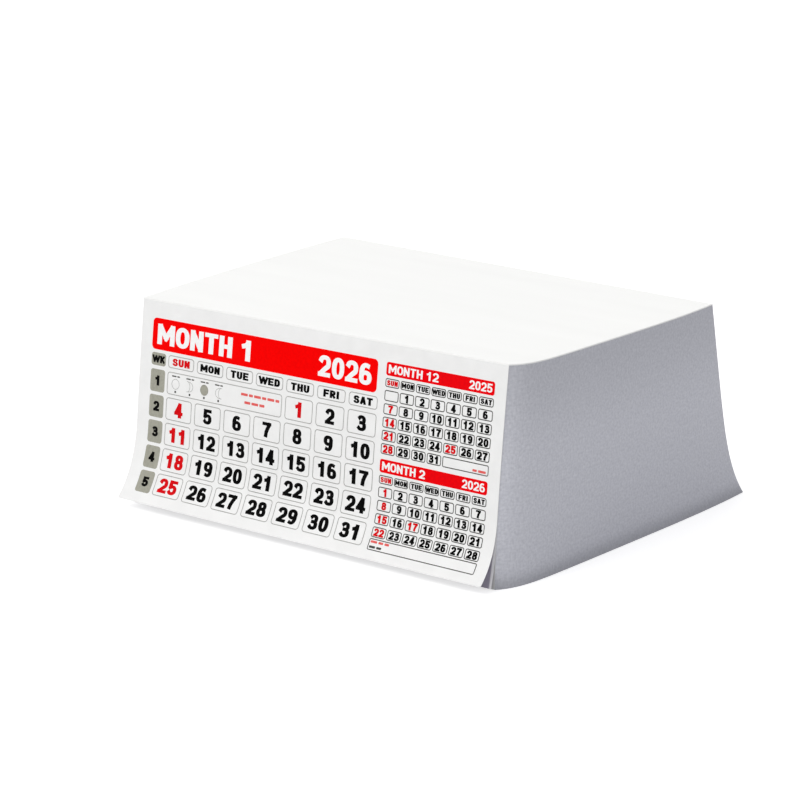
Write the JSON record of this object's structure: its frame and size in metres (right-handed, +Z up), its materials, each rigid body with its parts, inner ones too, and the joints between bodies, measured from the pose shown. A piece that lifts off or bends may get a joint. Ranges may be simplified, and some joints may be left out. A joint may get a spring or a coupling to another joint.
{
  "type": "tear-off wall calendar block",
  "caption": "Thick block of tear-off calendar leaves, glued along the top edge, standing on its spread lower edges with the printed month leaf in front.",
  "frame": {"origin": "on the ground under the middle of the block's glued top edge", "axes": "+X along the front leaf, to the right as the print is read; +Y from the printed front to the back; +Z up"},
  "size_m": [0.1529, 0.1324, 0.0681],
  "materials": {
    "paper": "matte",
    "leaf_edges": "matte",
    "padding_glue": "satin",
    "red_ink": "satin",
    "grey_ink": "matte",
    "rule_ink": "matte"
  },
  "bodies": {
    "root": {"leaf_pile": "leaf_edges", "second_leaf": "paper", "front_leaf": "paper", "glue_film": "padding_glue", "month_bar": "red_ink", "previous_month_bar": "red_ink", "next_month_bar": "red_ink", "week_heading_cell": "grey_ink", "week_cell_1": "grey_ink", "week_cell_2": "grey_ink", "week_cell_3": "grey_ink", "week_cell_4": "grey_ink", "week_cell_5": "grey_ink", "month_frame": "rule_ink", "previous_month_frame": "rule_ink", "next_month_frame": "rule_ink"}
  },
  "joints": []
}
